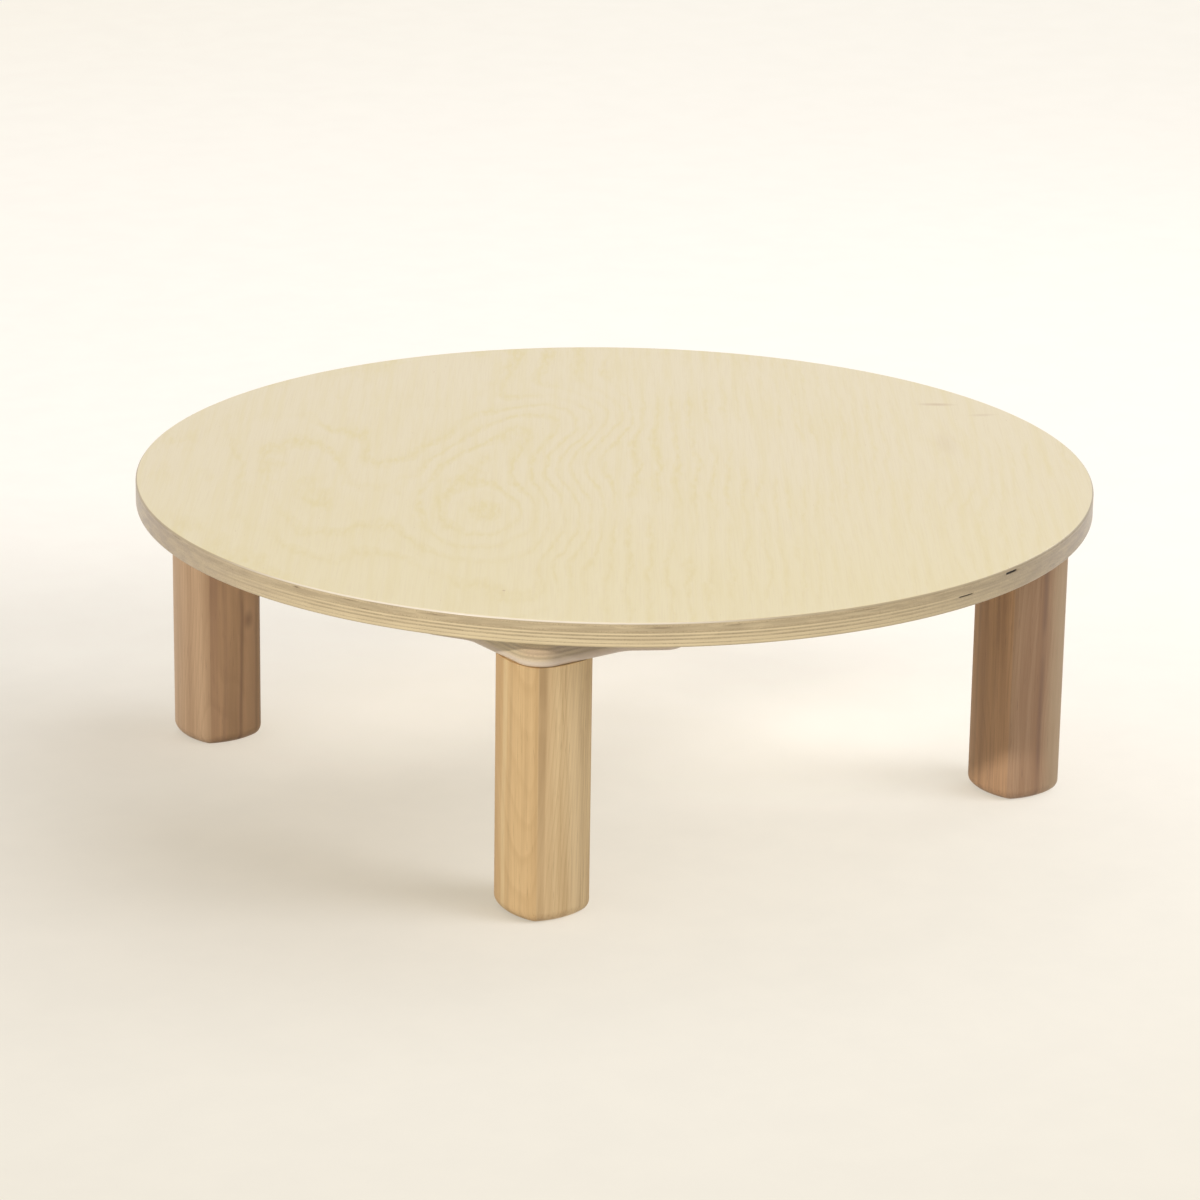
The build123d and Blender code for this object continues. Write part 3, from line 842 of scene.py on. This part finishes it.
# closed outline of a leg in mm, drawn in by inset
def legOutline(inset):
    crown, corner = legShape["crown"], legShape["corner"]
    back = crown - legShape["width"] / 2
    gap = crown - corner
    middle = (math.sqrt(2 * gap * gap - back * back) - back) / 2  # centre of the corner's arc
    tip = math.atan2(middle, middle + back)
    points = []
    for quarter in range(4):
        turn = Matrix.Rotation(quarter * math.pi / 2, 2)
        for step in range(legShape["faceSteps"]):
            t = -tip + 2 * tip * step / legShape["faceSteps"]
            reach = crown - inset
            points.append(turn @ Vector((reach * math.cos(t) - back, reach * math.sin(t))))
        for step in range(legShape["cornerSteps"]):
            t = tip + (math.pi / 2 - 2 * tip) * step / legShape["cornerSteps"]
            reach = corner - inset
            points.append(turn @ Vector((middle + reach * math.cos(t), middle + reach * math.sin(t))))
    return points


def sharpen(piece, degrees):
    bm = bmesh.new()
    bm.from_mesh(piece.data)
    limit = math.radians(degrees)
    for edge in bm.edges:
        if len(edge.link_faces) == 2 and edge.calc_face_angle() > limit:
            edge.smooth = False
    bm.to_mesh(piece.data)
    bm.free()


def buildLeg(corner):
    side = corners[corner]
    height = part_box("leg_" + corner)[1].z / mm
    centre = legAxis(corner)
    inward = Vector((-side[0], -side[1])).normalized()
    foot, crest = legShape["footRound"], legShape["topRound"]
    steps = legShape["footSteps"]
    rows = []  # height and inset, from the foot up
    for step in range(steps + 1):
        t = math.radians(90 * (1 - step / steps))
        rows.append((foot - foot * math.sin(t), foot - foot * math.cos(t)))
    shoulder = height - legShape["seatLength"]
    for step in range(1, legShape["rows"] + 1):
        rows.append((foot + (shoulder - foot) * step / legShape["rows"], 0.0))
    seated = len(rows)
    rows += [(shoulder, 0.0), (height - legShape["topBand"], 0.0), (height - crest, 0.0)]
    drop = crest * legShape["topRoundStep"]
    rows += [(height - drop, drop), (height, crest)]
    rings = []
    for number, (z, inset) in enumerate(rows):
        ring = []
        for point in legOutline(inset):
            if number >= seated:
                past = point.dot(inward) - legShape["seat"]
                if past > 0:
                    point = point - inward * past
            ring.append((centre.x + point.x * mm, centre.y + point.y * mm, z * mm))
        rings.append(ring)
    leg = newPiece("leg_wood_" + corner, skinned(rings), finishes["leg_" + corner])
    crease = leg.modifiers.new("crease", "WEIGHTED_NORMAL")
    crease.keep_sharp = True
    sharpen(leg, legShape["sharpDeg"])
    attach(leg, corner + "_leg")
    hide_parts("leg_" + corner)


buildTop()
for corner in corners:
    buildLeg(corner)
print("top and legs built")

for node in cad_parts:
    if node.startswith("block_") and node != "block_screws":
        paint(node, finishes["block"])
    elif node.startswith(("leg_plate", "hinge_base")):
        paint(node, finishes["blackSteel"])
    elif node.startswith(("detent_spring", "pin_clips")):
        paint(node, finishes["springSteel"])
    elif node.startswith("hinge_washers"):
        paint(node, finishes["nylon"])
    elif not node.startswith(("leg_", "table_top")):
        paint(node, finishes["zincSteel"])
print("blocks and hinges painted")


stageLook = {
    "size": 60.0,
    "dropMm": 0.2,  # the floor lies this far under the feet
    "lit": (0.565, 0.525, 0.470),  # what the floor throws back at the table
    "shade": 0.42,  # share of the seen floor that takes shadows
    "near": (0.470, 0.420, 0.322),
    "mid": (0.615, 0.570, 0.500),
    "far": (0.630, 0.590, 0.515),
    "awayDeg": 36,  # from +Y towards +X, the way the tones run
    "nearFade": (-1.3, 0.9),
    "farFade": (1.2, 4.5),
    "paper": {
        "scale": 14.0, "detail": 4.0, "rough": 0.6,
        "from": (0.3, 0.7), "to": (0.985, 1.015),
    },
    "paintedShadeAndLight": [  # painted shadows and painted light on the floor: place, radii, tone and share of darker and lighter parts
        ((-0.54, -0.07), (0.58, 0.54), (0.16, 0.09, 0.00), 0.30),
        ((-0.44, 0.38), (0.30, 0.28), (0.16, 0.09, 0.00), 0.12),
        ((-0.37, 0.31), (0.20, 0.15), (0.16, 0.09, 0.00), 0.13),
        ((-0.04, 0.24), (0.44, 0.26), (1.05, 0.96, 0.82), 0.30),
        ((0.22, -0.07), (0.36, 0.24), (1.05, 0.98, 0.86), 0.38),
        ((1.30, 4.20), (1.90, 1.90), (0.50, 0.40, 0.24), 0.14),
    ],
    "sky": (1.0, 0.985, 0.94),
    "ambient": (1.0, 0.97, 0.92),
    "ambientStrength": 0.46,
}


def cameraLike(tree):
    path = tree.nodes.new("ShaderNodeLightPath").outputs
    seen = calc(tree, "MAXIMUM", path["Is Camera Ray"], path["Is Glossy Ray"])
    return calc(tree, "MAXIMUM", seen, path["Is Transmission Ray"])


def buildStage():
    mat = bpy.data.materials.new("paleFloor")
    mat.use_nodes = True
    tree = mat.node_tree
    tree.nodes.clear()
    output = tree.nodes.new("ShaderNodeOutputMaterial")
    bounce = tree.nodes.new("ShaderNodeBsdfDiffuse")
    bounce.inputs["Color"].default_value = (*stageLook["lit"], 1)
    shade = tree.nodes.new("ShaderNodeBsdfDiffuse")
    shade.inputs["Color"].default_value = (*[stageLook["shade"]] * 3, 1)
    glow = tree.nodes.new("ShaderNodeEmission")
    turned = mapped(tree, objectCoords(tree), turn=(0, 0, math.radians(stageLook["awayDeg"])))
    away = parts(tree, turned)[1]
    nearFade, farFade = stageLook["nearFade"], stageLook["farFade"]
    tone = blended(tree, eased(tree, away, *nearFade), stageLook["near"], stageLook["mid"])
    tone = blended(tree, eased(tree, away, *farFade), tone, stageLook["far"])
    # painted shadows of the table and its feet, and painted light under it, laid into the floor's tone
    for place, radii, shift, share in stageLook["paintedShadeAndLight"]:
        paintedSpot = spot(tree, objectCoords(tree), place + (0.0,), radii + (1,))
        tone = blended(tree, calc(tree, "MULTIPLY", paintedSpot, share), tone, shift)
    paper = noise(tree, objectCoords(tree), stageLook["paper"])
    paper = levelled(tree, paper, stageLook["paper"])
    tone = blended(tree, 1.0, tone, joined(tree, paper, paper, paper), "MULTIPLY")
    plug(tree, glow.inputs["Color"], tone)
    both = tree.nodes.new("ShaderNodeAddShader")
    plug(tree, both.inputs[0], shade.outputs[0])
    plug(tree, both.inputs[1], glow.outputs[0])
    pick = tree.nodes.new("ShaderNodeMixShader")
    plug(tree, pick.inputs[0], cameraLike(tree))
    plug(tree, pick.inputs[1], bounce.outputs[0])
    plug(tree, pick.inputs[2], both.outputs[0])
    plug(tree, output.inputs["Surface"], pick.outputs[0])
    bm = bmesh.new()
    bmesh.ops.create_grid(bm, x_segments=1, y_segments=1, size=stageLook["size"] / 2)
    floor = newPiece("floor", bm, mat)
    floor.location.z = -stageLook["dropMm"] * mm

    world = bpy.data.worlds.new("paleRoom")
    bpy.context.scene.world = world
    world.use_nodes = True
    tree = world.node_tree
    tree.nodes.clear()
    output = tree.nodes.new("ShaderNodeOutputWorld")
    sky = tree.nodes.new("ShaderNodeBackground")
    sky.inputs["Color"].default_value = (*stageLook["sky"], 1)
    ambient = tree.nodes.new("ShaderNodeBackground")
    ambient.inputs["Color"].default_value = (*stageLook["ambient"], 1)
    ambient.inputs["Strength"].default_value = stageLook["ambientStrength"]
    pick = tree.nodes.new("ShaderNodeMixShader")
    plug(tree, pick.inputs[0], cameraLike(tree))
    plug(tree, pick.inputs[1], ambient.outputs[0])
    plug(tree, pick.inputs[2], sky.outputs[0])
    plug(tree, output.inputs["Surface"], pick.outputs[0])


lamps = {  # direction to the lamp: degrees round from -Y towards -X, and up
    "window": {
        "roundDeg": 72, "upDeg": 27, "away": 8.0,
        "size": 0.26, "watts": 275, "tint": (1.0, 0.96, 0.90),
    },
    "room": {
        "roundDeg": -12, "upDeg": 42, "away": 3.0,
        "size": 1.3, "watts": 14, "tint": (1.0, 0.98, 0.95),
    },
    "side": {
        "roundDeg": -96, "upDeg": 33, "away": 3.0,
        "size": 1.3, "watts": 10.6, "tint": (0.94, 0.97, 1.0),
    },
    "low": {
        "roundDeg": -40, "upDeg": 14, "away": 5.0,
        "spreadDeg": 40, "strength": 4.0, "tint": (1.0, 1.0, 1.0),
    },
    "overhead": {
        "roundDeg": 215, "upDeg": 62, "away": 3.0,
        "size": 1.8, "watts": 15, "tint": (1.0, 0.98, 0.95),
    },
}
aimHeight = 0.15
floorSkips = ["window"]  # its hard shadow would cross the floor
floorOnly = ["low"]  # gives the floor its soft shadow and lights nothing else


def addLamps():
    for name, lamp in lamps.items():
        if "watts" in lamp:
            data = bpy.data.lights.new(name, "AREA")
            data.shape = "SQUARE"
            data.size = lamp["size"]
            data.energy = lamp["watts"]
        else:
            data = bpy.data.lights.new(name, "SUN")
            data.angle = math.radians(lamp["spreadDeg"])
            data.energy = lamp["strength"]
        data.color = lamp["tint"]
        piece = bpy.data.objects.new(name, data)
        bpy.context.scene.collection.objects.link(piece)
        turn, up = math.radians(lamp["roundDeg"]), math.radians(lamp["upDeg"])
        level = math.cos(up)
        towards = Vector((-math.sin(turn) * level, -math.cos(turn) * level, math.sin(up)))
        piece.location = towards * lamp["away"] + Vector((0, 0, aimHeight))
        piece.rotation_euler = towards.to_track_quat("Z", "Y").to_euler()
        if name in floorSkips + floorOnly:
            lit = bpy.data.collections.new(name + "Lit")
            lit.objects.link(bpy.data.objects["floor"])
            state = "EXCLUDE" if name in floorSkips else "INCLUDE"
            lit.collection_objects[0].light_linking.link_state = state
            piece.light_linking.receiver_collection = lit


shot = {
    "place": (-2.6189, -3.5683, 1.6278),
    "headingDeg": 36.112,  # from +Y towards +X
    "tiltDeg": 18.231,
    "rollDeg": 0.857,
    "lensMm": 139.1,
    "sensorMm": 36,
    "farthest": 100,
}


def addCamera():
    data = bpy.data.cameras.new("shotCamera")
    data.sensor_width = shot["sensorMm"]
    data.lens = shot["lensMm"]
    data.clip_end = shot["farthest"]
    camera = bpy.data.objects.new("shotCamera", data)
    bpy.context.scene.collection.objects.link(camera)
    heading = Matrix.Rotation(-math.radians(shot["headingDeg"]), 3, "Z")
    tilt = Matrix.Rotation(math.radians(90 - shot["tiltDeg"]), 3, "X")
    roll = Matrix.Rotation(math.radians(shot["rollDeg"]), 3, "Z")
    camera.location = shot["place"]
    camera.rotation_euler = (heading @ tilt @ roll).to_euler()
    bpy.context.scene.camera = camera


buildStage()
addLamps()
addCamera()
bpy.context.scene.view_settings.view_transform = "Standard"
print("stage, lamps and camera set")
